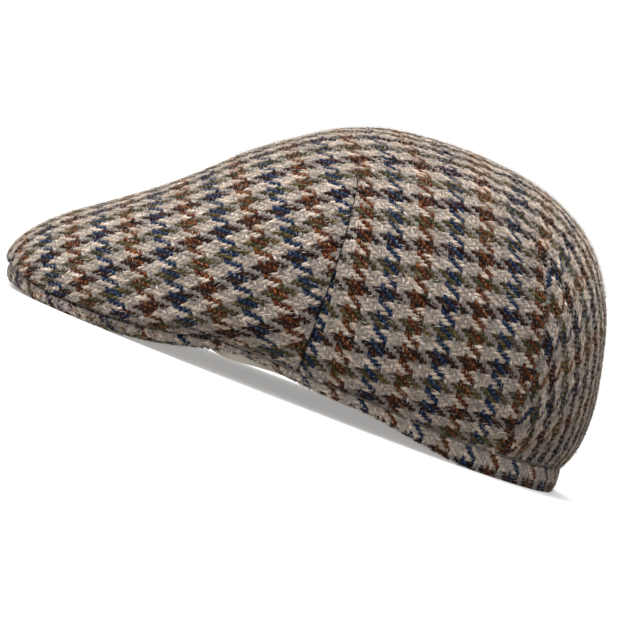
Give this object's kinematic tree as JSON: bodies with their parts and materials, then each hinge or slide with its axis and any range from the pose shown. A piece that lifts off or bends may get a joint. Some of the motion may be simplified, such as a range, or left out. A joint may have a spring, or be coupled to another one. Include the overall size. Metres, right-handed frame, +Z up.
{
  "type": "flat cap",
  "caption": "Duckbill flat cap in houndstooth tweed, with a one-piece top over the peak, a turned-up peak edge, a rim band and an inner sweatband.",
  "frame": {"origin": "middle of the cap's footprint, on the surface that it rests on", "axes": "the cap faces -Y, +X is its wearer's left side, +Z is up"},
  "size_m": [0.19, 0.28, 0.1335],
  "materials": {
    "tweed": "fuzzy wool tweed, a houndstooth of oatmeal with navy, rust, olive and dark brown",
    "tweed_edge": "the same tweed under the peak, turned up at its edge",
    "tweed_band": "the same tweed, folded into a narrow band",
    "cream_band": "smooth cream cotton twill"
  },
  "bodies": {
    "root": {"crown": "tweed", "under_peak": "tweed_edge", "rim_band": "tweed_band", "sweatband": "cream_band"}
  },
  "joints": []
}
